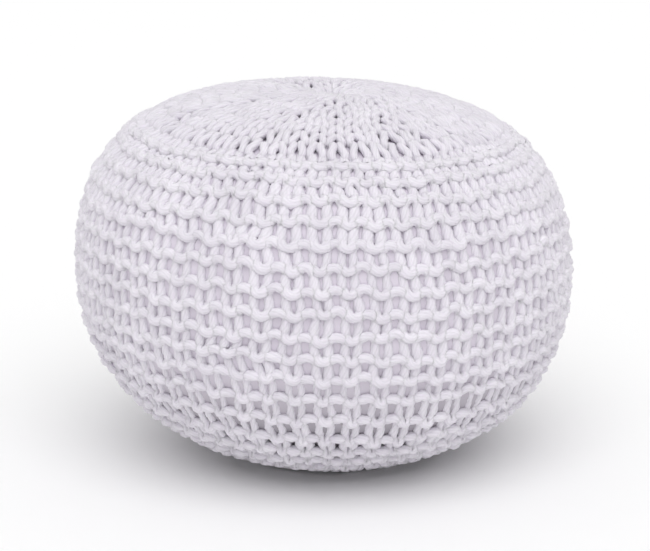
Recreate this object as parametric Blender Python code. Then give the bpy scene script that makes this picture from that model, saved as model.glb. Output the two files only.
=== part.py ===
"""Knitted floor pouf: one filled, gathered cushion that carries the ridges of its knit.

Metres, +Z up. The origin is on the floor, under the middle of the pouf's box.
Run with: blender --background --python part.py
"""
import math

import bmesh
import bpy
from mathutils import Vector

# Half section of the filled cushion, from the crown's middle down to the rim of its flat base.
# The last column is how far the filling has slumped to the right at that height.
SECTION = (
    # out    up      aside
    (0.0000, 0.3685, -0.0040),
    (0.0600, 0.3675, -0.0045),
    (0.1050, 0.3620, -0.0045),
    (0.1500, 0.3500, -0.0035),
    (0.1955, 0.3270, -0.0030),
    (0.2275, 0.2895, -0.0022),
    (0.2450, 0.2430, -0.0010),
    (0.2500, 0.1935, 0.0000),
    (0.2450, 0.1435, 0.0010),
    (0.2275, 0.0965, 0.0030),
    (0.1980, 0.0570, 0.0050),
    (0.1570, 0.0275, 0.0058),
    (0.1130, 0.0080, 0.0062),
    (0.0850, 0.0000, 0.0062),
)
SECTION_STEPS = 12
WIDEST_UP = 0.1935
CROWN_TILT = 0.018
TILT_SPAN = (0.120, 0.260)

# The knit's closing lies a little off the crown's middle and is drawn in
CLOSING = Vector((0.016, 0.004))
CLOSING_DIP = 0.005
CLOSING_REACH = 0.030
CLOSING_RIM = 0.009
CROWN_EDGE = 0.180

# The crown is knitted plain side out. Its wales run to the closing as low radial ropes, one to
# a wale near the crown's edge and one to every second wale further in.
WALES = 56
GATHERED_RINGS = (0.0240, 0.0410, 0.0580, 0.0750, 0.0920)
GATHER_DEPTH = 0.0018
ROPED_RINGS = (0.1090, 0.1260, 0.1430, 0.1600)
ROPE_DEPTH = 0.0030

# The sides are knitted purl side out, so each course is a ridge round the pouf: how far down
# the skin each zone's first ridge begins, how far apart they are and how deep their grooves lie
ZONES = (
    # first  pitch   courses depth
    (0.1770, 0.0170, 3, 0.0034),
    (0.2320, 0.0215, 10, 0.0044),
    (0.4530, 0.0275, 6, 0.0048),
)
RIDGE_SHARE = 0.38
GROOVE_SHARE = 0.69
BASE_FADE = 0.060
BASE_PLAIN = 0.004

# Where the courses dip: from the front round to the right and back again
COURSE_SAG = 0.0075
SAG_TURNS = (
    # from    to     change
    (0.0, 26.0, 1.0),
    (120.0, 200.0, -1.0),
)
SAG_SPAN = (
    # from   to     change
    (0.100, 0.200, 1.0),
    (0.500, 0.600, -1.0),
)

# Soft hollows and swellings of the filling
UNEVEN = (
    # around down  reach  height
    (205.0, 0.300, 0.110, -0.0030),
    (150.0, 0.420, 0.100, 0.0022),
    (250.0, 0.210, 0.090, 0.0020),
    (305.0, 0.470, 0.080, -0.0022),
    (95.0, 0.230, 0.085, -0.0020),
    (40.0, 0.470, 0.075, 0.0014),
)

# Cotton yarn
COTTON = (0.70, 0.67, 0.74, 1.0)
COTTON_ROUGHNESS = 0.92
CREASE_ANGLE = math.radians(25)


def smooth_curve(points, steps):
    """A smooth curve through the points, with as many steps to each span."""
    first = tuple(2 * a - b for a, b in zip(points[0], points[1]))
    last = tuple(2 * a - b for a, b in zip(points[-1], points[-2]))
    ends = (first,) + tuple(points) + (last,)
    curve = []
    for before, start, stop, after in zip(ends, ends[1:], ends[2:], ends[3:]):
        for step in range(steps):
            t = step / steps
            curve.append(tuple(
                0.5 * (2 * q + (r - p) * t + (2 * p - 5 * q + 4 * r - s) * t * t
                       + (3 * q - p - 3 * r + s) * t ** 3)
                for p, q, r, s in zip(before, start, stop, after)))
    curve.append(tuple(points[-1]))
    return curve


def lengths_along(curve):
    """Distance of each point from the curve's start."""
    total = [0.0]
    for a, b in zip(curve, curve[1:]):
        total.append(total[-1] + math.dist(a, b))
    return total


CURVE = smooth_curve(SECTION, SECTION_STEPS)
DOWN = lengths_along(CURVE)


def read(value, knots, column):
    """Straight-line reading of one column of the section at a value of rising knots."""
    if value <= knots[0]:
        return CURVE[0][column]
    for index in range(1, len(knots)):
        if value <= knots[index]:
            share = (value - knots[index - 1]) / (knots[index] - knots[index - 1])
            return CURVE[index - 1][column] * (1 - share) + CURVE[index][column] * share
    return CURVE[len(knots) - 1][column]


def ease(value, start, stop):
    """0 before start, 1 after stop and a smooth change between them."""
    t = min(max((value - start) / (stop - start), 0.0), 1.0)
    return t * t * (3 - 2 * t)


def stepped(value, turns):
    """Sum of eased changes, each over its own stretch."""
    return sum(change * ease(value, start, stop) for start, stop, change in turns)


def height_over(out):
    """Height of the crown over a point that lies this far from the middle."""
    crown = [point[0] for point in CURVE if point[1] >= WIDEST_UP]
    return read(out, crown, 1)


def uneven(down, around):
    """How far the filling stands proud of the plain section, or behind it."""
    out = read(down, DOWN, 0)
    total = 0.0
    for centre, level, reach, height in UNEVEN:
        turn = math.radians((around - centre + 180.0) % 360.0 - 180.0)
        span = math.hypot(turn * out, down - level)
        total += height * math.exp(-(span / reach) ** 2)
    return total


def skin(down, around, proud):
    """Point of the skin: distance down it, turn from the front, and height over it."""
    out = read(down, DOWN, 0)
    up = read(down, DOWN, 1)
    step = 0.002
    slope = Vector((read(down + step, DOWN, 0) - read(down - step, DOWN, 0),
                    read(down + step, DOWN, 1) - read(down - step, DOWN, 1))).normalized()
    proud = (proud + uneven(down, around)) * ease(DOWN[-1] - down, 0.0, BASE_FADE)
    out -= slope.y * proud
    up += slope.x * proud
    turn = math.radians(around)
    plan = Vector((math.sin(turn), -math.cos(turn))) * out
    share = 1 - ease(down, 0.0, CROWN_EDGE)
    shifted = plan + CLOSING * share
    if share > 0:
        up += height_over(shifted.length) - height_over(out)
        up -= CLOSING_DIP * math.exp(-(down / CLOSING_REACH) ** 2)
    up -= CROWN_TILT * shifted.x * (1 - ease(down, *TILT_SPAN))
    return Vector((shifted.x + read(down, DOWN, 2), shifted.y, up))


def rings_down():
    """Each ring's distance down the skin, height over it, points round and depth between ropes."""
    rings = [(CLOSING_RIM, -GATHER_DEPTH, WALES, GATHER_DEPTH)]
    for down in GATHERED_RINGS:
        rings.append((down, 0.0, WALES, GATHER_DEPTH))
    for down in ROPED_RINGS:
        rings.append((down, 0.0, 2 * WALES, ROPE_DEPTH))
    edge = (ROPED_RINGS[-1] + ZONES[0][0]) / 2
    rings.append((edge, -ZONES[0][3], WALES, 0.0))
    for first, pitch, courses, depth in ZONES:
        for course in range(courses):
            top = first + pitch * course
            rings.append((top, 0.0, WALES, 0.0))
            rings.append((top + pitch * RIDGE_SHARE, 0.0, WALES, 0.0))
            rings.append((top + pitch * GROOVE_SHARE, -depth, WALES, 0.0))
    rings = [ring for ring in rings if ring[0] < DOWN[-1] - BASE_PLAIN]
    rings.append((DOWN[-1], 0.0, WALES, 0.0))
    return rings


def ring_points(solid, down, proud, count, between):
    """One ring of points, every second one of which lies lower between two ropes."""
    ring = []
    for index in range(count):
        around = 360.0 * index / count
        sag = COURSE_SAG * stepped(around, SAG_TURNS) * stepped(down, SAG_SPAN)
        place = skin(min(down + sag, DOWN[-1]), around, proud - between * (index % 2))
        ring.append(solid.verts.new(place))
    return ring


def join_rings(solid, upper, lower):
    """Triangles between two rings, one of which may have twice the other's points."""
    count = min(len(upper), len(lower))
    above = len(upper) // count
    below = len(lower) // count
    for index in range(count):
        top = [upper[(index * above + step) % len(upper)] for step in range(above + 1)]
        foot = [lower[(index * below + step) % len(lower)] for step in range(below + 1)]
        for step in range(below):
            solid.faces.new((top[0], foot[step], foot[step + 1]))
        for step in range(above):
            solid.faces.new((top[step], foot[-1], top[step + 1]))


def knitted_pouf():
    """One closed solid: rings of points down the skin, closed at the crown and by a flat base."""
    solid = bmesh.new()
    rings = [ring_points(solid, *ring) for ring in rings_down()]
    for upper, lower in zip(rings, rings[1:]):
        join_rings(solid, upper, lower)
    closing = solid.verts.new(skin(0.0, 0.0, -GATHER_DEPTH))
    for index in range(WALES):
        solid.faces.new((closing, rings[0][index], rings[0][(index + 1) % WALES]))
    solid.faces.new(list(reversed(rings[-1])))
    bmesh.ops.recalc_face_normals(solid, faces=solid.faces)
    middle = [(min(v.co[axis] for v in solid.verts) + max(v.co[axis] for v in solid.verts)) / 2
              for axis in (0, 1)]
    bmesh.ops.translate(solid, vec=Vector((-middle[0], -middle[1], 0.0)), verts=solid.verts)
    mesh = bpy.data.meshes.new("knitted_pouf")
    solid.to_mesh(mesh)
    solid.free()
    mesh.shade_smooth()
    mesh.set_sharp_from_angle(angle=CREASE_ANGLE)
    pouf = bpy.data.objects.new("knitted_pouf", mesh)
    bpy.context.scene.collection.objects.link(pouf)
    return pouf


def cotton_yarn():
    """Matt white cotton."""
    material = bpy.data.materials.new("cotton_yarn")
    material.use_nodes = True
    shader = material.node_tree.nodes["Principled BSDF"]
    shader.inputs["Base Color"].default_value = COTTON
    shader.inputs["Roughness"].default_value = COTTON_ROUGHNESS
    shader.inputs["Metallic"].default_value = 0.0
    return material


def main():
    for thing in list(bpy.data.objects):
        bpy.data.objects.remove(thing, do_unlink=True)
    pouf = knitted_pouf()
    pouf.data.materials.append(cotton_yarn())


main()
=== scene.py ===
"""Looks of a knitted cotton floor pouf: its yarn, knitted in one spiral over a filled bag."""
import math

import bpy
import numpy as np
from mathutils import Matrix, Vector


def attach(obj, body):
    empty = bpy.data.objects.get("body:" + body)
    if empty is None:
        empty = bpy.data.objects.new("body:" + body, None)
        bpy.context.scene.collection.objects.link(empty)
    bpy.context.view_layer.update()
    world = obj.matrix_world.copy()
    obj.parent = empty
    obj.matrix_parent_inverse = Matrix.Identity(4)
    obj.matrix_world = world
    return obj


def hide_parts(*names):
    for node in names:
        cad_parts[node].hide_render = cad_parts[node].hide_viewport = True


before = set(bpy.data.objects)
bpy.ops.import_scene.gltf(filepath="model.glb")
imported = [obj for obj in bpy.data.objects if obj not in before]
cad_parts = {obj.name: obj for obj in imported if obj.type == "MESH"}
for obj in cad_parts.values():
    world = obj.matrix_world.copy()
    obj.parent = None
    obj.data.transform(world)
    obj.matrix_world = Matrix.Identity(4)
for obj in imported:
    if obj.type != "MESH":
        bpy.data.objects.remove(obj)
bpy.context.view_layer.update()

NODE = "knitted_pouf"

# Half section of the filled cover, from the crown's middle to the rim of its flat base.
# The last column is how far the filling has slumped to the right at that height.
SECTION = (
    # out    up      aside
    (0.0000, 0.3685, -0.0040),
    (0.0600, 0.3675, -0.0045),
    (0.1050, 0.3620, -0.0045),
    (0.1500, 0.3500, -0.0035),
    (0.1955, 0.3270, -0.0030),
    (0.2275, 0.2895, -0.0022),
    (0.2450, 0.2430, -0.0010),
    (0.2500, 0.1935, 0.0000),
    (0.2450, 0.1435, 0.0010),
    (0.2275, 0.0965, 0.0030),
    (0.1980, 0.0570, 0.0050),
    (0.1570, 0.0275, 0.0058),
    (0.1130, 0.0080, 0.0062),
    (0.0850, 0.0000, 0.0062),
)
SECTION_STEPS = 12

# The crown falls to the right by this slope, which fades out over this stretch of the skin
CROWN_TILT = 0.018
TILT_SPAN = (0.120, 0.260)

# The knit's closing lies a little off the crown's middle and is drawn in
CLOSING = (0.016, 0.004)
CLOSING_DIP = 0.005
CLOSING_REACH = 0.030
CROWN_EDGE = 0.180

# Soft hollows and swellings of the filling, which fade out above the base
UNEVEN = (
    # around down   reach  height
    (205.0, 0.300, 0.110, -0.0030),
    (150.0, 0.420, 0.100, 0.0022),
    (250.0, 0.210, 0.090, 0.0020),
    (305.0, 0.470, 0.080, -0.0022),
    (95.0, 0.230, 0.085, -0.0020),
    (40.0, 0.470, 0.075, 0.0014),
)
BASE_FADE = 0.060

# How far from a point of the skin the points lie that give its slope
SLOPE_STEP = 0.002

# The courses: how far down the skin the first of each stretch lies at the front, how far apart
# they are, how many there are, the stitches round the first and how many each next one gains
COURSES = (
    # first  pitch   courses stitches gain
    (0.0045, 0.0175, 2, 8, 8),
    (0.0410, 0.0170, 6, 16, 8),
    (0.1430, 0.0170, 5, 56, 0),
    (0.2320, 0.0215, 10, 56, 0),
    (0.4530, 0.0275, 5, 56, 0),
    (0.5905, 0.0275, 2, 48, -8),
    (0.6400, 0.0220, 3, 32, -8),
)

# The last course's feet stay this far from the underside's middle
LAST_GAP = 0.004

# The crown's gores, which lose their stitches at their edges, and where a course begins
GORES = 8
GORE_EDGE = 205.0

# The crown's stitches at the gores' edges are loose, and this share of the others. Then how
# wide their eyelets are at most at the front and at the sides, in stitches, where that
# changes, and the shares of that width that an eyelet may have
EYELET_SHARE = 0.14
EYELET = (0.40, 1.20)
EYELET_SPAN = (0.3, 0.9)
EYELET_SIZES = (0.3, 1.0)

# How far the stitches lie off their places, in stitches: on the sides, on the crown, and how
# much more up and down there
STITCH_SHIFT = 0.075
CROWN_SHIFT = 0.085
CROWN_SLACK = 2.0
SEED = 11

# The crown's courses are knitted plain side out, the others purl side out
PLAIN_COURSES = 10

# Where the courses dip, from the front round to the right, and where they come back
COURSE_SAG = 0.0035
SAG_TURNS = ((0.0, 26.0), (120.0, 200.0))
SAG_SPAN = ((0.100, 0.200), (0.500, 0.600))

# The stretches of the yarn: the courses from the first to before the second, and the values
# that their stitches give to the inputs named here
STITCH_VALUES = ("Loop Sink", "Rise From", "Yarn Radius", "Loop Reach", "Loop Swing",
                 "Loop Spread", "Upper Leg", "Lower Leg", "Link")
STRETCHES = (
    # name            courses sink    rise  radius  reach swing  spread upper lower link
    ("crown_knit",     0, 10, 0.0054, 0.34, 0.0040, 1.26, 0.190, 0.005, 1.10, 1.06, 1.00),
    ("shoulder_knit", 10, 15, 0.0034, 0.32, 0.0048, 1.22, 0.100, 0.016, 1.14, 1.40, 1.04),
    ("side_knit",     15, 21, 0.0038, 0.34, 0.0049, 1.24, 0.095, 0.028, 0.98, 1.20, 1.03),
    ("foot_knit",     21, 27, 0.0046, 0.35, 0.0050, 1.25, 0.096, 0.036, 0.80, 0.96, 1.02),
    ("base_knit",     27, 33, 0.0044, 0.34, 0.0043, 1.10, 0.096, 0.034, 0.70, 0.78, 0.96),
)

# Points of the yarn in each stitch, its strands, how deep the valleys between them are as a
# share of its radius, and its turns in each metre
LOOP_STEPS = 24
YARN_STRANDS = 5
STRAND_DEPTH = 0.11
YARN_TWIST = 16.0

# Where things change along a stitch, from 0 at its head to 0.5 between two feet: the yarn
# passes from head to leg, comes up again at the foot, and has the thickness of its upper leg,
# its lower leg and the link between two feet
HEAD_TO_LEG = (0.04, 0.17)
UP_AT_FOOT = 0.46
TO_UPPER_LEG = (0.03, 0.14)
TO_LOWER_LEG = (0.17, 0.32)
TO_LINK = (0.38, 0.47)

# Slow changes along the yarn: how far the noise of its place and of its tone moves on with
# each stitch, the tones that count as dark and light, and the thickness at each of them
WANDER_PACE = 1.7
TONE_PACE = 0.37
TONES = (0.3, 0.7)
SPINNING = (0.90, 1.10)

# How deep the bag of filling lies under the cover's outside: on the shoulder and low down on
# the sides, how much deeper under the crown, and where on the skin each of them changes
BAG_DEPTH = (0.0079, 0.0200)
BAG_DROP = (0.46, 0.60)
CROWN_GAP = 0.0078
CROWN_GAP_END = (0.10, 0.17)

# The bag's cloth: how far apart its threads are, the heights between which painted shade darkens
# it low down and fades out into its full white, and the share of its colour left below the lower
# height
WEAVE_PITCH = 0.0013
PAINTED_SHADE_SPAN = (0.045, 0.165)
PAINTED_SHADE_SHARE = 0.38

# Most values of a noise over a surface lie between these
NOISE_SPAN = (0.35, 0.65)

# Rows down and columns round of the skin as its box is measured, of the skin as the yarn
# follows it, and of the bag, whose first and last rows lie this far from the middles
BOX_GRID = (200, 120)
GUIDE_GRID = (180, 160)
BAG_GRID = (90, 112)
BAG_ENDS = 0.004


def smooth_curve(points, steps):
    """A smooth curve through the points, with as many steps to each span."""
    knots = np.array(points, float)
    ends = np.vstack((2 * knots[0] - knots[1], knots, 2 * knots[-1] - knots[-2]))
    t = (np.arange(steps) / steps)[:, None]
    spans = []
    for p, q, r, s in zip(ends, ends[1:], ends[2:], ends[3:]):
        spans.append(0.5 * (2 * q + (r - p) * t + (2 * p - 5 * q + 4 * r - s) * t ** 2
                            + (3 * q - p - 3 * r + s) * t ** 3))
    return np.vstack(spans + [knots[-1:]])


# The half section as a curve, closed under the base; DOWN is the way along it to each point
CURVE = smooth_curve(SECTION, SECTION_STEPS)
RIM_DOWN = float(np.hypot(*np.diff(CURVE[:, :2], axis=0).T).sum())
CURVE = np.vstack((CURVE, (0.0, 0.0, SECTION[-1][2])))
DOWN = np.concatenate(([0.0], np.cumsum(np.hypot(*np.diff(CURVE[:, :2], axis=0).T))))
ALL_DOWN = float(DOWN[-1])
CROWN_ROWS = CURVE[:int(np.argmax(CURVE[:, 0])) + 1]


def ease(value, start, stop):
    """0 before start, 1 after stop and a smooth change between them."""
    t = np.clip((value - start) / (stop - start), 0.0, 1.0)
    return t * t * (3 - 2 * t)


def between(value, rise, fall):
    """1 between a rising and a falling stretch, 0 outside them."""
    return ease(value, *rise) - ease(value, *fall)


def crown_height(out):
    """Height of the crown this far from its middle."""
    return np.interp(out, CROWN_ROWS[:, 0], CROWN_ROWS[:, 1])


def skin(down, turn):
    """Points of the cover's outside, by the distance down it and the turn from the front."""
    down, turn = np.broadcast_arrays(np.asarray(down, float), np.asarray(turn, float))
    out, up, aside = (np.interp(down, DOWN, CURVE[:, column]) for column in range(3))
    near = np.clip(down, SLOPE_STEP, ALL_DOWN - SLOPE_STEP)
    slope = np.stack([np.interp(near + SLOPE_STEP, DOWN, CURVE[:, column])
                      - np.interp(near - SLOPE_STEP, DOWN, CURVE[:, column])
                      for column in (0, 1)])
    slope /= np.hypot(*slope)
    swell = np.zeros_like(down)
    for centre, level, reach, height in UNEVEN:
        apart = np.radians((np.degrees(turn) - centre + 180.0) % 360.0 - 180.0)
        swell += height * np.exp(-(np.hypot(apart * out, down - level) / reach) ** 2)
    swell *= 1 - ease(down, RIM_DOWN - BASE_FADE, RIM_DOWN)
    share = 1 - ease(down, 0.0, CROWN_EDGE)
    x = np.sin(turn) * (out - slope[1] * swell) + CLOSING[0] * share
    y = -np.cos(turn) * (out - slope[1] * swell) + CLOSING[1] * share
    up = up + slope[0] * swell
    up = up + np.where(share > 0, crown_height(np.hypot(x, y)) - crown_height(out), 0.0)
    up = up - CLOSING_DIP * np.exp(-(down / CLOSING_REACH) ** 2)
    up = up - CROWN_TILT * x * (1 - ease(down, *TILT_SPAN))
    return np.stack((x + aside, y, up), axis=-1)


def skin_middle():
    """Middle of the skin's box, which the frame has on its origin."""
    rows, columns = BOX_GRID
    down, turn = np.meshgrid(np.linspace(0, ALL_DOWN, rows),
                             np.radians(np.arange(columns) * (360.0 / columns)))
    points = skin(down, turn).reshape(-1, 3)
    middle = (points.min(0) + points.max(0)) / 2
    return middle * (1, 1, 0)


MIDDLE = skin_middle()


def outward(down, turn):
    """Directions that point straight out of the skin."""
    near = np.clip(down, SLOPE_STEP, ALL_DOWN - SLOPE_STEP)
    along = skin(near + SLOPE_STEP, turn) - skin(near - SLOPE_STEP, turn)
    angle = SLOPE_STEP / np.maximum(np.interp(near, DOWN, CURVE[:, 0]), SLOPE_STEP)
    across = skin(near, turn + angle) - skin(near, turn - angle)
    out = np.cross(along, across)
    return out / np.linalg.norm(out, axis=-1, keepdims=True)


def linked(name, mesh):
    """A new object at the origin that shows the mesh."""
    made = bpy.data.objects.new(name, mesh)
    bpy.context.scene.collection.objects.link(made)
    return made


def lay_out(mesh, u, v):
    """Give the mesh a layout whose place for each corner comes from its point."""
    points = np.empty(len(mesh.loops), np.int32)
    mesh.loops.foreach_get("vertex_index", points)
    flat = np.stack((np.ravel(u), np.ravel(v)), axis=-1).astype(np.float32)
    mesh.uv_layers.new(name="lay").data.foreach_set("uv", flat[points].ravel())


def skin_guide():
    """The skin as a mesh laid out by turn and by distance down, for the yarn to follow."""
    rows, columns = GUIDE_GRID
    down, turn = np.meshgrid(np.linspace(0, ALL_DOWN, rows), np.linspace(0, 1, columns),
                             indexing="ij")
    points = skin(down, turn * 2 * math.pi) - MIDDLE
    corners = np.arange(rows * columns).reshape(rows, columns)
    faces = np.stack((corners[:-1, :-1], corners[1:, :-1], corners[1:, 1:], corners[:-1, 1:]),
                     axis=-1).reshape(-1, 4)
    mesh = bpy.data.meshes.new("skin_guide")
    mesh.from_pydata(points.reshape(-1, 3).tolist(), [], faces.tolist())
    lay_out(mesh, turn, down / ALL_DOWN)
    away = outward(down, turn * 2 * math.pi).astype(np.float32)
    mesh.attributes.new("outward", "FLOAT_VECTOR", "POINT").data.foreach_set(
        "vector", away.ravel())
    return linked("skin_guide", mesh)


def course_sizes():
    """Distance down the skin and number of stitches of every course."""
    downs, counts = [], []
    for first, pitch, courses, stitches, gain in COURSES:
        for course in range(courses):
            downs.append(first + pitch * course)
            counts.append(stitches + gain * course)
    return np.array(downs), np.array(counts)


def hung_from(stitch, count, below):
    """Places in the course below that a stitch hangs in: two where the gore loses a stitch."""
    gore, place = divmod(stitch, count // GORES)
    wide = below // GORES
    if below > count:
        held = (0, 1) if place == 0 else (place + 1, place + 1)
    else:
        held = (min(place, wide - 1),) * 2
    return [gore * wide + each for each in held]


def stitch_chart():
    """Every stitch in knitting order: turn, distance down and depth of its head and its foot.

    A depth is 0 where the yarn lies on top and 1 where it passes behind; a foot's depth is
    that of the yarn between two feet, and the legs over it lie the other way.
    """
    random = np.random.default_rng(SEED)
    downs, counts = course_sizes()
    last = min(2 * downs[-1] - downs[-2], ALL_DOWN - LAST_GAP)
    lines = np.append(downs, last)
    front = (360.0 - GORE_EDGE) / 360.0

    # Each decrease turns the rest of its gore by half a stitch, so the crown swirls
    per_gore = counts // GORES
    swirl = np.array([sum(1 / (m + 1) for m in range(n, per_gore.max())) for n in per_gore])
    swirl[np.argmax(per_gore):] = 0.0
    swirl *= 0.5 / GORES

    heads = []
    for course, count in enumerate(counts):
        place = (np.arange(count) + 0.5) / count
        most = CROWN_SHIFT if course < PLAIN_COURSES else STITCH_SHIFT
        shift = random.normal(0, most, (2, count)).clip(-2 * most, 2 * most)
        at = course + place - front
        turn = course + place + shift[0] / count
        turn += np.interp(at, range(len(counts)), swirl) + GORE_EDGE / 360.0
        if 1 < course < PLAIN_COURSES:
            at_edge = np.arange(count) % (count // GORES) == 0
            loose = at_edge | (random.random(count) < EYELET_SHARE)
            aside = np.abs(np.sin(turn * 2 * math.pi))
            widest = np.interp(aside, EYELET_SPAN, EYELET)
            wide = loose * random.uniform(*EYELET_SIZES, count) * widest / count
            turn += (wide - np.roll(wide, -1)) / 2
        down = np.interp(at, range(len(lines)), lines)
        slack = CROWN_SLACK if course < PLAIN_COURSES else 1.0
        down += slack * shift[1] * (lines[course + 1] - lines[course])
        around = (turn * 360.0) % 360.0
        down += COURSE_SAG * between(around, *SAG_TURNS) * between(down, *SAG_SPAN)
        heads.append(np.stack((turn, down), axis=-1))

    rows = []
    for course, count in enumerate(counts):
        plain = float(course < PLAIN_COURSES)
        plain_over = float(course <= PLAIN_COURSES)
        for stitch in range(count):
            head = heads[course][stitch]
            foot = head + (0.0, lines[-1] - lines[-2])
            if course + 1 < len(counts):
                held = hung_from(stitch, count, counts[course + 1])
                foot = heads[course + 1][held].mean(axis=0) - (1.0, 0.0)
            rows.append((course, *head, plain_over, *foot, plain))
    rows = np.array(rows)
    rows[:, (2, 5)] /= ALL_DOWN
    return rows


class Wiring:
    """A node tree as it is wired: each call adds nodes and says what their inputs read."""

    def __init__(self, tree):
        self.tree = tree

    def read(self, socket, value):
        """Link or set one input."""
        if isinstance(value, bpy.types.NodeSocket):
            self.tree.links.new(value, socket)
        else:
            socket.default_value = value

    def add(self, kind, settings=(), **reads):
        """Add a node, give it its settings, and link or set each input that is named."""
        node = self.tree.nodes.new(kind)
        for name, value in dict(settings).items():
            setattr(node, name, value)
        for name, value in reads.items():
            label = name.replace("_", " ").lower()
            fitting = [s for s in node.inputs
                       if s.enabled and label in (s.name.lower(), s.identifier.lower())]
            self.read(fitting[0], value)
        return node

    def sum(self, operation, *values):
        """One operation on up to three numbers."""
        node = self.add("ShaderNodeMath", {"operation": operation})
        for socket, value in zip(node.inputs, values):
            self.read(socket, value)
        return node.outputs[0]

    def vector(self, operation, *values, scale=None):
        """One operation on up to three vectors."""
        node = self.add("ShaderNodeVectorMath", {"operation": operation})
        for socket, value in zip(node.inputs, values):
            self.read(socket, value)
        if scale is not None:
            self.read(node.inputs["Scale"], scale)
        return node.outputs[0]

    def blend(self, share, low, high):
        """A vector that lies between two others."""
        rise = self.vector("SUBTRACT", high, low)
        return self.vector("ADD", low, self.vector("SCALE", rise, scale=share))

    def parts(self, vector):
        """The three numbers of a vector."""
        return self.add("ShaderNodeSeparateXYZ", Vector=vector).outputs

    def ranged(self, value, start, stop, low, high, smooth=False):
        """Low before start, high after stop, and a straight or smooth change between them."""
        kind = "SMOOTHSTEP" if smooth else "LINEAR"
        return self.add("ShaderNodeMapRange", {"interpolation_type": kind}, Value=value,
                        From_Min=start, From_Max=stop, To_Min=low, To_Max=high).outputs[0]

    def named(self, name, kind="FLOAT"):
        """A value that the mesh carries."""
        node = self.add("GeometryNodeInputNamedAttribute", {"data_type": kind}, Name=name)
        return node.outputs["Attribute"]

    def store(self, geometry, name, value, kind="FLOAT"):
        """Keep a value on the points."""
        node = self.add("GeometryNodeStoreNamedAttribute", {"data_type": kind},
                        Geometry=geometry, Name=name, Value=value)
        return node.outputs["Geometry"]


def sockets(tree, inputs, outputs):
    """Name the inputs and outputs of a node group and give the inputs their first values."""
    for name, kind, value in inputs:
        socket = tree.interface.new_socket(name, in_out="INPUT", socket_type="NodeSocket" + kind)
        if value is not None:
            socket.default_value = value
    for name, kind in outputs:
        tree.interface.new_socket(name, in_out="OUTPUT", socket_type="NodeSocket" + kind)


# What the yarn's nodes are given; the stretches give their own values to some of it
YARN_INPUTS = (
    # name       kind        value
    ("Geometry", "Geometry", None),
    ("Skin", "Object", None),
    ("Cotton", "Material", None),
    ("Loop Steps", "Int", LOOP_STEPS),
    ("Loop Reach", "Float", 1.38),
    ("Loop Swing", "Float", 0.15),
    ("Loop Spread", "Float", 0.03),
    ("Loop Sink", "Float", 0.005),
    ("Rise From", "Float", 0.34),
    ("Yarn Radius", "Float", 0.004),
    ("Strands", "Int", YARN_STRANDS),
    ("Strand Depth", "Float", STRAND_DEPTH),
    ("Twist", "Float", YARN_TWIST),
    ("Upper Leg", "Float", 0.8),
    ("Lower Leg", "Float", 1.1),
    ("Link", "Float", 1.0),
    ("Wander", "Float", 0.0013),
    ("Seed", "Float", 0.0),
)


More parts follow.
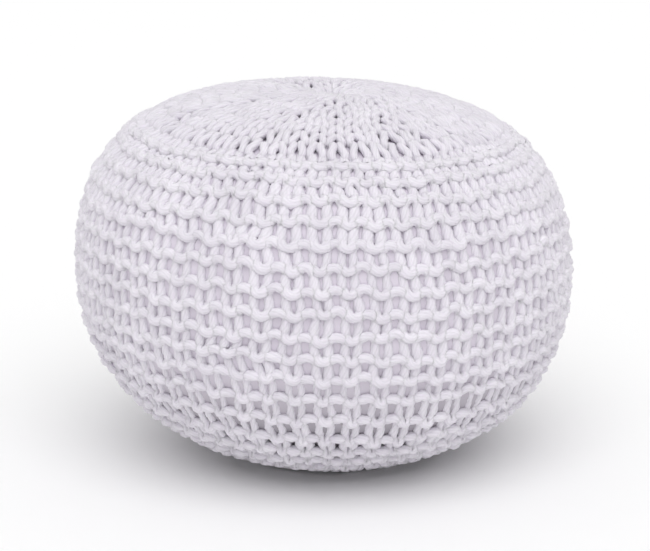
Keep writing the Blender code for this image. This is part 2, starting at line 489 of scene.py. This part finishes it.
def yarn_tree():
    """Geometry nodes that lay one yarn through the stitches of a chart, over the skin."""
    tree = bpy.data.node_groups.new("yarn_through_stitches", "GeometryNodeTree")
    sockets(tree, YARN_INPUTS, (("Geometry", "Geometry"),))
    t = Wiring(tree)
    given = t.add("NodeGroupInput").outputs
    chart = given["Geometry"]

    # Where along the yarn each point lies: in which stitch, and how far on to the next
    size = t.add("GeometryNodeAttributeDomainSize", {"component": "MESH"}, Geometry=chart)
    last = t.sum("SUBTRACT", size.outputs["Point Count"], 1.0)
    count = t.sum("ADD", t.sum("MULTIPLY", last, given["Loop Steps"]), 1.0)
    line = t.add("GeometryNodeMeshLine", Count=count).outputs[0]
    place = t.sum("DIVIDE", t.add("GeometryNodeInputIndex").outputs[0], given["Loop Steps"])
    stitch = t.sum("MINIMUM", t.sum("FLOOR", place), t.sum("SUBTRACT", last, 1.0))
    share = t.sum("SUBTRACT", place, stitch)

    def of_stitch(name, step):
        return t.add("GeometryNodeSampleIndex", {"data_type": "FLOAT_VECTOR"}, Geometry=chart,
                     Value=t.named(name, "FLOAT_VECTOR"),
                     Index=t.sum("ADD", stitch, step)).outputs[0]

    head, next_head = of_stitch("head", 0.0), of_stitch("head", 1.0)
    foot, next_foot = of_stitch("foot", 0.0), of_stitch("foot", 1.0)

    # The loop: from a head down to the yarn between two feet, and up to the next head
    turn = t.sum("MULTIPLY", share, 2 * math.pi)
    fall = t.sum("MULTIPLY", t.sum("SUBTRACT", 1.0, t.sum("COSINE", turn)), 0.5)
    top, bottom = t.blend(share, head, next_head), t.blend(share, foot, next_foot)
    path = t.parts(t.blend(t.sum("MULTIPLY", fall, given["Loop Reach"]), top, bottom))
    wide = t.parts(t.blend(fall, t.vector("SUBTRACT", next_head, head),
                           t.vector("SUBTRACT", next_foot, foot)))
    swing = t.sum("ADD", t.sum("MULTIPLY", given["Loop Swing"],
                               t.sum("SINE", t.sum("MULTIPLY", turn, 2.0))),
                  t.sum("MULTIPLY", given["Loop Spread"], t.sum("SINE", turn)))
    across = t.sum("ADD", path["X"], t.sum("MULTIPLY", swing, wide["X"]))
    flat = t.add("ShaderNodeCombineXYZ", X=t.sum("FRACT", across), Y=path["Y"]).outputs[0]

    # How deep it lies at the head, on the legs and between the feet
    under_head = t.parts(top)["Z"]
    under_foot = t.parts(bottom)["Z"]
    on_leg = t.sum("SUBTRACT", 1.0, under_foot)
    fold = t.sum("PINGPONG", share, 0.5)
    to_leg = t.ranged(fold, *HEAD_TO_LEG, 0.0, 1.0, smooth=True)
    to_foot = t.ranged(fold, given["Rise From"], UP_AT_FOOT, 0.0, 1.0, smooth=True)
    deep = t.ranged(to_leg, 0.0, 1.0, under_head, on_leg)
    deep = t.ranged(to_foot, 0.0, 1.0, deep, under_foot)
    depth = t.sum("MULTIPLY_ADD", given["Loop Sink"], deep, given["Yarn Radius"])

    # How thick it is: plump or drawn thin on the legs, and spun unevenly
    tone = t.add("ShaderNodeTexNoise", {"noise_dimensions": "1D"}, Scale=TONE_PACE, Detail=2.0,
                 W=t.sum("ADD", place, given["Seed"])).outputs[0]
    plump = t.ranged(fold, *TO_UPPER_LEG, 1.0, given["Upper Leg"], smooth=True)
    for span, label in ((TO_LOWER_LEG, "Lower Leg"), (TO_LINK, "Link")):
        reached = t.ranged(fold, *span, 0.0, 1.0, smooth=True)
        plump = t.ranged(reached, 0.0, 1.0, plump, given[label])
    thick = t.sum("MULTIPLY", t.ranged(tone, *TONES, *SPINNING), plump)

    # Its place on the skin, which wanders a little and stays over the floor
    guide = t.add("GeometryNodeObjectInfo", Object=given["Skin"]).outputs["Geometry"]

    def on_skin(value):
        return t.add("GeometryNodeSampleUVSurface", {"data_type": "FLOAT_VECTOR"}, Mesh=guide,
                     Value=value, Source_UV_Map=t.named("lay", "FLOAT_VECTOR"),
                     Sample_UV=flat).outputs[0]

    away = t.vector("NORMALIZE", on_skin(t.named("outward", "FLOAT_VECTOR")))
    ground = on_skin(t.add("GeometryNodeInputPosition").outputs[0])
    spot = t.add("ShaderNodeCombineXYZ", X=t.sum("MULTIPLY", place, WANDER_PACE),
                 Y=given["Seed"])
    noise = t.add("ShaderNodeTexNoise", {"noise_dimensions": "2D"}, Scale=1.0, Detail=1.0,
                  Vector=spot.outputs[0]).outputs["Color"]
    wander = t.vector("SCALE", t.vector("SUBTRACT", noise, (0.5, 0.5, 0.5)),
                      scale=t.sum("MULTIPLY", given["Wander"], 2.0))
    spot = t.vector("SUBTRACT", ground, t.vector("SCALE", away, scale=depth))
    spot = t.parts(t.vector("ADD", spot, wander))
    spot = t.add("ShaderNodeCombineXYZ", X=spot["X"], Y=spot["Y"],
                 Z=t.sum("MAXIMUM", spot["Z"], t.sum("MULTIPLY", thick, given["Yarn Radius"])))
    line = t.add("GeometryNodeSetPosition", Geometry=line,
                 Position=spot.outputs[0]).outputs[0]

    # The yarn itself: strands lie round it and turn along it
    line = t.store(line, "tone", tone)
    yarn = t.add("GeometryNodeMeshToCurve", Mesh=line).outputs[0]
    along = t.add("GeometryNodeSplineParameter").outputs["Length"]
    yarn = t.store(yarn, "along", along)
    tilt = t.sum("MULTIPLY", along, t.sum("MULTIPLY", given["Twist"], 2 * math.pi))
    yarn = t.add("GeometryNodeSetCurveTilt", Curve=yarn, Tilt=tilt).outputs[0]
    ring = t.add("GeometryNodeCurvePrimitiveCircle", Radius=given["Yarn Radius"],
                 Resolution=t.sum("MULTIPLY", given["Strands"], 2.0)).outputs[0]
    corner = t.add("GeometryNodeInputPosition").outputs[0]
    ring = t.store(ring, "side", t.vector("NORMALIZE", corner), "FLOAT_VECTOR")
    valley = t.sum("MODULO", t.add("GeometryNodeInputIndex").outputs[0], 2.0)
    draw_in = t.sum("MULTIPLY", t.sum("MULTIPLY", valley, given["Strand Depth"]), -1.0)
    ring = t.add("GeometryNodeSetPosition", Geometry=ring,
                 Offset=t.vector("SCALE", corner, scale=draw_in)).outputs[0]
    tube = t.add("GeometryNodeCurveToMesh", Curve=yarn, Profile_Curve=ring, Scale=thick,
                 Fill_Caps=True).outputs[0]
    tube = t.add("GeometryNodeSetShadeSmooth", Geometry=tube).outputs[0]
    tube = t.add("GeometryNodeRealizeInstances", Geometry=tube).outputs[0]
    tube = t.add("GeometryNodeSetMaterial", Geometry=tube, Material=given["Cotton"]).outputs[0]
    t.add("NodeGroupOutput", Geometry=tube)
    return tree


def knit_stretch(name, tree, rows, values):
    """Knit one stretch of the spiral and return it as a plain mesh."""
    chart = bpy.data.meshes.new(name + "_chart")
    chart.from_pydata([(float(place), 0.0, 0.0) for place in range(len(rows))], [], [])
    for label, columns in (("head", slice(1, 4)), ("foot", slice(4, 7))):
        chart.attributes.new(label, "FLOAT_VECTOR", "POINT").data.foreach_set(
            "vector", rows[:, columns].astype(np.float32).ravel())
    holder = linked(name + "_chart", chart)
    knit = holder.modifiers.new("knit", "NODES")
    knit.node_group = tree
    for item in tree.interface.items_tree:
        if item.in_out == "INPUT" and item.name in values:
            knit[item.identifier] = values[item.name]
    bpy.context.view_layer.update()
    depsgraph = bpy.context.evaluated_depsgraph_get()
    mesh = bpy.data.meshes.new_from_object(holder.evaluated_get(depsgraph),
                                           preserve_all_data_layers=True, depsgraph=depsgraph)
    mesh.name = name
    bpy.data.objects.remove(holder, do_unlink=True)
    return linked(name, mesh)


def knit_cover(cotton):
    """The whole cover: one spiral of yarn, in stretches that meet at a stitch."""
    guide = skin_guide()
    chart = stitch_chart()
    tree = yarn_tree()
    made = []
    for name, first, until, *values in STRETCHES:
        held = np.flatnonzero((chart[:, 0] >= first) & (chart[:, 0] < until))
        held = np.arange(held[0], min(held[-1] + 2, len(chart)))
        values = dict(zip(STITCH_VALUES, values), Skin=guide, Cotton=cotton, Seed=float(first))
        made.append(knit_stretch(name, tree, chart[held], values))
    bpy.data.objects.remove(guide, do_unlink=True)
    return made


def filled_bag(cloth):
    """The bag of filling, whose cloth shows dimly between the stitches."""
    rows, columns = BAG_GRID
    down, turn = np.meshgrid(np.linspace(BAG_ENDS, ALL_DOWN - BAG_ENDS, rows),
                             np.linspace(0, 2 * math.pi, columns, endpoint=False), indexing="ij")
    depth = BAG_DEPTH[0] + (BAG_DEPTH[1] - BAG_DEPTH[0]) * ease(down, *BAG_DROP)
    depth += CROWN_GAP * (1 - ease(down, *CROWN_GAP_END))
    points = skin(down, turn) - MIDDLE - outward(down, turn) * depth[..., None]
    corners = np.arange(rows * columns).reshape(rows, columns)
    beside = np.roll(corners, -1, axis=1)
    faces = np.stack((corners[:-1], corners[1:], beside[1:], beside[:-1]), axis=-1)
    ends = [corners[0].tolist(), corners[-1][::-1].tolist()]
    mesh = bpy.data.meshes.new("filled_bag")
    mesh.from_pydata(points.reshape(-1, 3).tolist(), [], faces.reshape(-1, 4).tolist() + ends)
    mesh.shade_smooth()
    mesh.materials.append(cloth)
    return linked("filled_bag", mesh)


def uneven_tone():
    """Shader group: a colour that varies softly between a light and a dark one."""
    tree = bpy.data.node_groups.new("uneven_tone", "ShaderNodeTree")
    sockets(tree, (("Vector", "Vector", None), ("Scale", "Float", 20.0),
                   ("Light", "Color", (0.8, 0.8, 0.8, 1)), ("Dark", "Color", (0.7, 0.7, 0.7, 1))),
            (("Color", "Color"),))
    t = Wiring(tree)
    given = t.add("NodeGroupInput").outputs
    noise = t.add("ShaderNodeTexNoise", Vector=given["Vector"], Scale=given["Scale"], Detail=3.0)
    share = t.ranged(noise.outputs[0], *NOISE_SPAN, 0.0, 1.0)
    colour = t.add("ShaderNodeMix", {"data_type": "RGBA"}, Factor=share, A=given["Dark"],
                   B=given["Light"])
    t.add("NodeGroupOutput", Color=colour.outputs["Result"])
    return tree


def spun_fibres():
    """Shader group: fine fibres along a yarn, and a mask of the valleys between its strands, used
    for painted shade.
    """
    tree = bpy.data.node_groups.new("spun_fibres", "ShaderNodeTree")
    sockets(tree, (("Side", "Vector", None), ("Along", "Float", 0.0), ("Strands", "Float", 5.0),
                   ("Lay", "Float", 20.0), ("Fineness", "Float", 6.0),
                   ("Fibre Length", "Float", 0.012)),
            (("Height", "Float"), ("Fibre", "Float"), ("Valley", "Float")))
    t = Wiring(tree)
    given = t.add("NodeGroupInput").outputs
    side = t.parts(given["Side"])
    angle = t.sum("ARCTAN2", side["Y"], side["X"])
    ridge = t.sum("COSINE", t.sum("MULTIPLY", angle, given["Strands"]))
    valley = t.ranged(ridge, -1.0, -0.2, 1.0, 0.0, smooth=True)
    split = t.sum("COSINE", t.sum("MULTIPLY", angle, t.sum("MULTIPLY", given["Strands"], 2.0)))
    split = t.ranged(split, 0.4, 1.0, 0.0, 1.0, smooth=True)
    laid = t.sum("MULTIPLY_ADD", t.sum("MULTIPLY", given["Along"], given["Lay"]), 2 * math.pi,
                 angle)
    spot = t.add("ShaderNodeCombineXYZ",
                 X=t.sum("MULTIPLY", t.sum("COSINE", laid), given["Fineness"]),
                 Y=t.sum("MULTIPLY", t.sum("SINE", laid), given["Fineness"]),
                 Z=t.sum("DIVIDE", given["Along"], given["Fibre Length"]))
    fibre = t.add("ShaderNodeTexNoise", Vector=spot.outputs[0], Scale=1.0, Detail=3.0,
                  Roughness=0.65).outputs[0]
    height = t.sum("SUBTRACT", fibre, t.sum("MULTIPLY", split, 0.5))
    t.add("NodeGroupOutput", Height=height, Fibre=fibre, Valley=valley)
    return tree


def shaded(name, **values):
    """A new material, its wiring and its shader, which gets the values that stay the same."""
    made = bpy.data.materials.new(name)
    made.use_nodes = True
    shader = made.node_tree.nodes["Principled BSDF"]
    for label, value in values.items():
        shader.inputs[label.replace("_", " ")].default_value = value
    return made, Wiring(made.node_tree), shader.inputs


def cotton_yarn(tone, fibres):
    """Soft white cotton, spun from a few loose strands."""
    made, t, shader = shaded("cotton_yarn", Sheen_Weight=0.08, Sheen_Roughness=0.45,
                             Specular_IOR_Level=0.3, Subsurface_Weight=0.5,
                             Subsurface_Radius=(0.0014, 0.0013, 0.0014),
                             Subsurface_Scale=1.0)
    place = t.add("ShaderNodeTexCoord").outputs["Object"]
    side = t.add("ShaderNodeAttribute", {"attribute_name": "side"}).outputs["Vector"]
    along = t.add("ShaderNodeAttribute", {"attribute_name": "along"}).outputs["Fac"]
    batch = t.add("ShaderNodeAttribute", {"attribute_name": "tone"}).outputs["Fac"]
    spun = t.add("ShaderNodeGroup", {"node_tree": fibres}, Side=side, Along=along,
                 Strands=float(YARN_STRANDS)).outputs
    colour = t.add("ShaderNodeGroup", {"node_tree": tone}, Vector=place, Scale=34.0,
                   Light=(0.845, 0.815, 0.878, 1), Dark=(0.810, 0.778, 0.844, 1)).outputs[0]
    # Painted shade in the valleys between the strands, times a random fibre tone and batch tone
    shade = t.sum("MULTIPLY", t.ranged(spun["Valley"], 0.0, 1.0, 1.0, 0.93),
                  t.ranged(spun["Fibre"], *NOISE_SPAN, 0.95, 1.03))
    shade = t.sum("MULTIPLY", shade, t.ranged(batch, *TONES, 0.96, 1.03))
    colour = t.vector("SCALE", colour, scale=shade)
    t.read(shader["Base Color"], colour)
    t.read(shader["Roughness"], t.ranged(spun["Fibre"], *NOISE_SPAN, 0.95, 0.80))
    bump = t.add("ShaderNodeBump", Height=spun["Height"], Strength=0.8, Distance=0.0007)
    t.read(shader["Normal"], bump.outputs[0])
    return made


def bag_cloth(tone):
    """Thin plain-woven white cloth, darkened towards the bottom by painted shade."""
    made, t, shader = shaded("bag_cloth", Roughness=0.9, Specular_IOR_Level=0.3)
    place = t.add("ShaderNodeTexCoord").outputs["Object"]
    colour = t.add("ShaderNodeGroup", {"node_tree": tone}, Vector=place, Scale=12.0,
                   Light=(0.76, 0.712, 0.790, 1), Dark=(0.70, 0.652, 0.730, 1)).outputs[0]
    # Painted shade: the cloth's colour grows darker towards the bottom of the pouf
    low = t.ranged(t.parts(place)["Z"], *PAINTED_SHADE_SPAN, PAINTED_SHADE_SHARE, 1.0, smooth=True)
    t.read(shader["Base Color"], t.vector("SCALE", colour, scale=low))
    thread = t.parts(t.vector("SCALE", place, scale=2 * math.pi / WEAVE_PITCH))
    weave = t.sum("MULTIPLY", t.sum("SINE", t.sum("ADD", thread["X"], thread["Y"])),
                  t.sum("SINE", thread["Z"]))
    bump = t.add("ShaderNodeBump", Height=weave, Strength=0.4, Distance=0.0002)
    t.read(shader["Normal"], bump.outputs[0])
    return made


# The photograph's view
CAMERA_ELEVATION = 14.0
CAMERA_DISTANCE = 2.2114
CAMERA_TARGET = Vector((0.0, 0.0, 0.1998))
LENS = 121.85
SENSOR = 36.0
PHOTO_SIZE = (650, 551)
TARGET_PIXEL = (323.94, 254.07)


# The studio: its white surround, how wide its lights are, in degrees, the lights and the floor
SURROUND = 0.72
LIGHT_SPREAD = 55.0
LIGHTS = (
    # name          round up    strength
    ("front_light", 4.0, 56.0, 1.32),
)
FLOOR_WHITE = 0.95
FLOOR_REACH = 12.0


def camera():
    """The camera, level from side to side."""
    data = bpy.data.cameras.new("camera")
    data.lens = LENS
    data.sensor_width = SENSOR
    data.sensor_fit = "HORIZONTAL"
    tilt = math.radians(CAMERA_ELEVATION)
    focal = LENS / SENSOR * PHOTO_SIZE[0]
    lower = math.atan((PHOTO_SIZE[1] / 2 - TARGET_PIXEL[1]) / focal)
    aside = math.atan((PHOTO_SIZE[0] / 2 - TARGET_PIXEL[0]) / focal)
    made = linked("camera", data)
    made.location = CAMERA_TARGET + CAMERA_DISTANCE * Vector((0, -math.cos(tilt), math.sin(tilt)))
    made.rotation_euler = (math.pi / 2 - tilt - lower, 0.0, -aside)
    bpy.context.scene.camera = made


def soft_light(name, turn, up, strength):
    """One wide soft light, from this far round to the right and this far up, in degrees."""
    data = bpy.data.lights.new(name, "SUN")
    data.angle = math.radians(LIGHT_SPREAD)
    data.energy = strength
    light = linked(name, data)
    light.rotation_euler = (math.radians(90.0 - up), 0.0, math.radians(turn))


def studio():
    """A pale floor, a white surround and a soft light over and before the pouf."""
    scene = bpy.context.scene
    scene.view_settings.view_transform = "Standard"
    scene.world = bpy.data.worlds.new("studio")
    scene.world.use_nodes = True
    around = scene.world.node_tree.nodes["Background"].inputs
    around["Color"].default_value = (1.0, 1.0, 1.0, 1)
    around["Strength"].default_value = SURROUND
    for light in LIGHTS:
        soft_light(*light)
    mesh = bpy.data.meshes.new("floor")
    mesh.from_pydata([(x * FLOOR_REACH, y * FLOOR_REACH, 0)
                      for x, y in ((-1, -1), (1, -1), (1, 1), (-1, 1))], [], [(0, 1, 2, 3)])
    white = (FLOOR_WHITE, FLOOR_WHITE, FLOOR_WHITE, 1)
    mesh.materials.append(shaded("floor_paint", Base_Color=white, Roughness=0.9)[0])
    linked("floor", mesh)


def main():
    tone = uneven_tone()
    pieces = knit_cover(cotton_yarn(tone, spun_fibres()))
    bag = filled_bag(bag_cloth(tone))
    for piece in pieces + [bag]:
        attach(piece, "root")
        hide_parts(NODE)
    studio()
    camera()


main()
